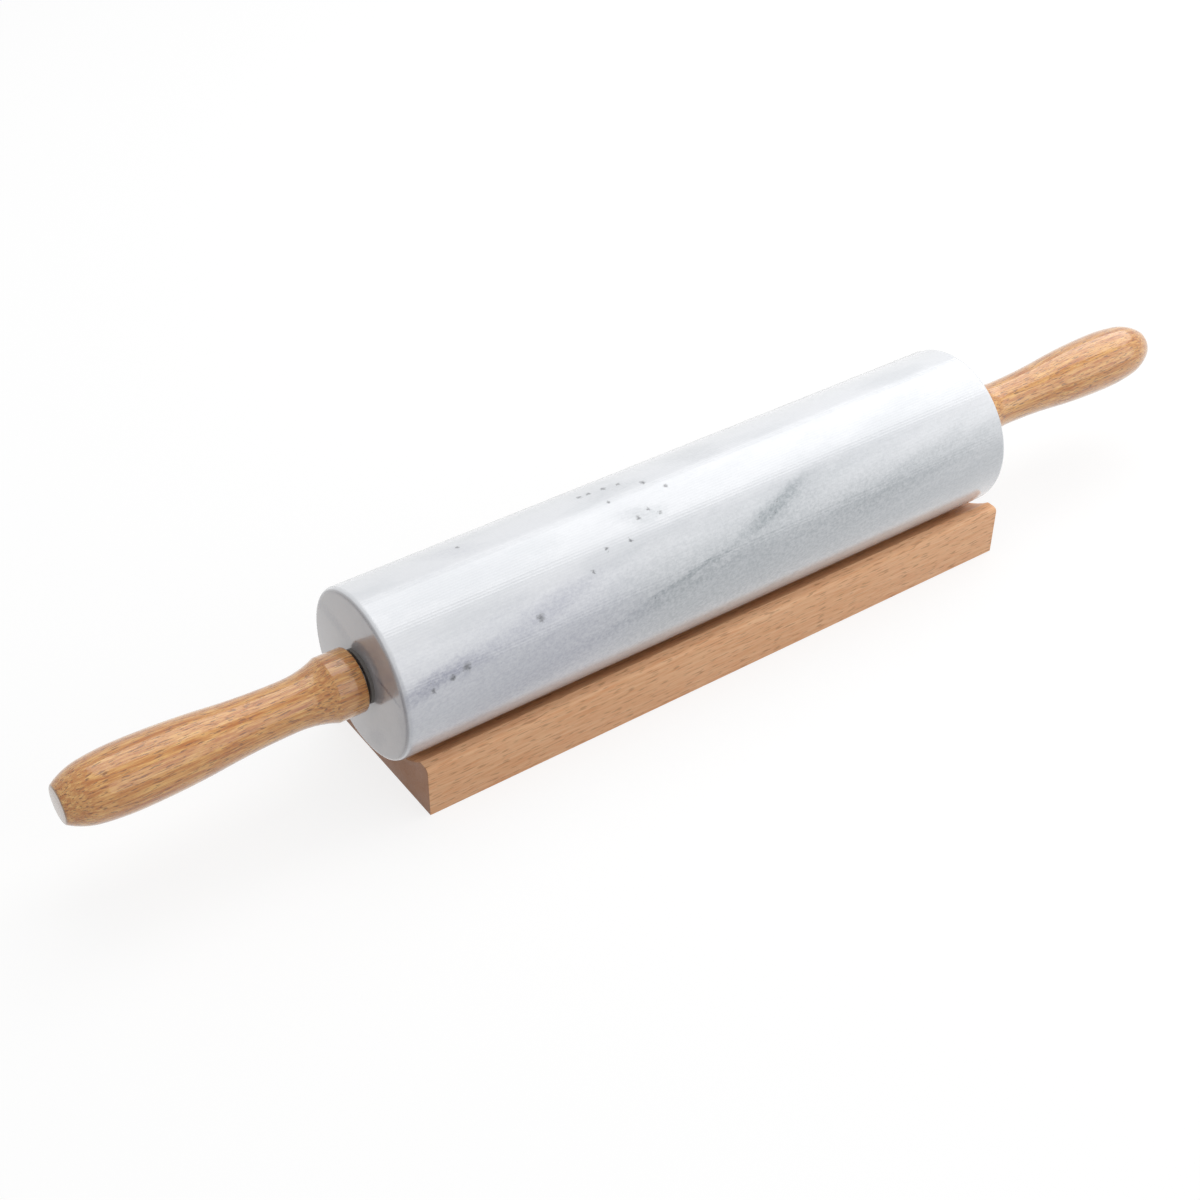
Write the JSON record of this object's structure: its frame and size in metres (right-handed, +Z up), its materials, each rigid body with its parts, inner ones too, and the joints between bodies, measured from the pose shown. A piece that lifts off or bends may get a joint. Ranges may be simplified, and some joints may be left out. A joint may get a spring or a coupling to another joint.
{
  "type": "marble rolling pin",
  "caption": "Marble rolling pin with turned wooden handles on a through rod, lying in the groove of a wooden cradle.",
  "frame": {"origin": "on the surface that the cradle stands on, under the middle of the pin", "axes": "+X along the pin towards the right handle, +Z up, +Y away from the long side that faces the viewer"},
  "size_m": [0.461, 0.06, 0.0713],
  "materials": {
    "marble": "polished white marble with soft grey veins",
    "handle_wood": "golden brown hardwood under gloss varnish",
    "cradle_wood": "light brown hardwood, satin",
    "steel": "bright drawn steel",
    "brass": "plain",
    "nylon": "matt dark nylon"
  },
  "bodies": {
    "cradle": {"cradle": "cradle_wood"},
    "barrel": {"marble_barrel": "marble", "left_bush": "nylon", "right_bush": "nylon"},
    "handles": {"axle_rod": "steel", "left_washer": "steel", "right_washer": "steel", "left_insert": "brass", "right_insert": "brass", "left_handle": "handle_wood", "right_handle": "handle_wood"}
  },
  "joints": [
    {"name": "pin_lift", "type": "slide", "parent": "cradle", "child": "barrel", "axis": [0, 0, 1], "range_m": [0, 0.1]},
    {"name": "barrel_spin", "type": "hinge", "parent": "barrel", "child": "handles", "pos_m": [0, 0, 0.0413], "axis": [1, 0, 0], "continuous": true}
  ]
}
